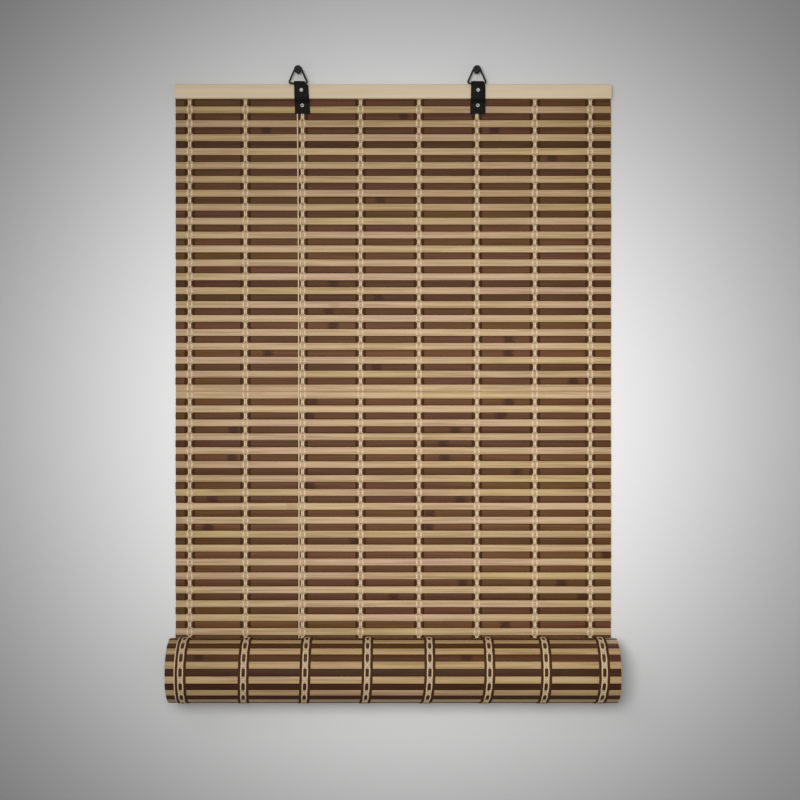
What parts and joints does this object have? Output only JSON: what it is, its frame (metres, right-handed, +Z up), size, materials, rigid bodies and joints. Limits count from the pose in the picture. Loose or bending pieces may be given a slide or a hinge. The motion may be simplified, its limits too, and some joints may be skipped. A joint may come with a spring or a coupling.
{
  "type": "bamboo roll up blind",
  "caption": "Half rolled-up blind of dark and light bamboo slats bound by beige chain stitches, hung from a wooden head rail by black straps and wire rings on wall pegs.",
  "frame": {"origin": "on the wall plane, midway between the two wall pegs, on the line through their axes", "axes": "+Z up, +X to the right as seen by a person facing the blind, +Y into the wall along the peg shanks"},
  "size_m": [0.6, 0.1209, 0.865],
  "materials": {
    "dark_bamboo": "stained matt",
    "light_bamboo": "natural satin",
    "rolled_bamboo": "natural satin",
    "pale_wood": "planed",
    "beige_yarn": "matt yarn",
    "black_leather": "grained",
    "black_metal": "satin black",
    "rivet_metal": "dull nickel"
  },
  "bodies": {
    "hanger": {"wall_pegs": "black_metal", "hanging_rings": "black_metal"},
    "blind": {"strap_left": "black_leather", "strap_right": "black_leather", "strap_rivets": "rivet_metal", "head_rail": "pale_wood", "dark_slats": "dark_bamboo", "light_slats": "light_bamboo", "warp_1": "beige_yarn", "warp_2": "beige_yarn", "warp_3": "beige_yarn", "warp_4": "beige_yarn", "warp_5": "beige_yarn", "warp_6": "beige_yarn", "warp_7": "beige_yarn", "warp_8": "beige_yarn", "lift_cord": "beige_yarn"},
    "roll": {"roll": "rolled_bamboo", "roll_warp_1": "beige_yarn", "roll_warp_2": "beige_yarn", "roll_warp_3": "beige_yarn", "roll_warp_4": "beige_yarn", "roll_warp_5": "beige_yarn", "roll_warp_6": "beige_yarn", "roll_warp_7": "beige_yarn", "roll_warp_8": "beige_yarn", "bottom_rod": "pale_wood"}
  },
  "joints": [
    {"name": "blind_swing", "type": "hinge", "parent": "hanger", "child": "blind", "pos_m": [0, -0.01215, -0.0184], "axis": [-1, 0, 0], "range_deg": [0, 90]},
    {"name": "roll_lift", "type": "slide", "parent": "blind", "child": "roll", "axis": [0, 0, 1], "range_m": [0, 0.74], "deforming": ["dark_slats", "light_slats", "warp_1", "warp_2", "warp_3", "warp_4", "warp_5", "warp_6", "warp_7", "warp_8", "lift_cord"]}
  ]
}
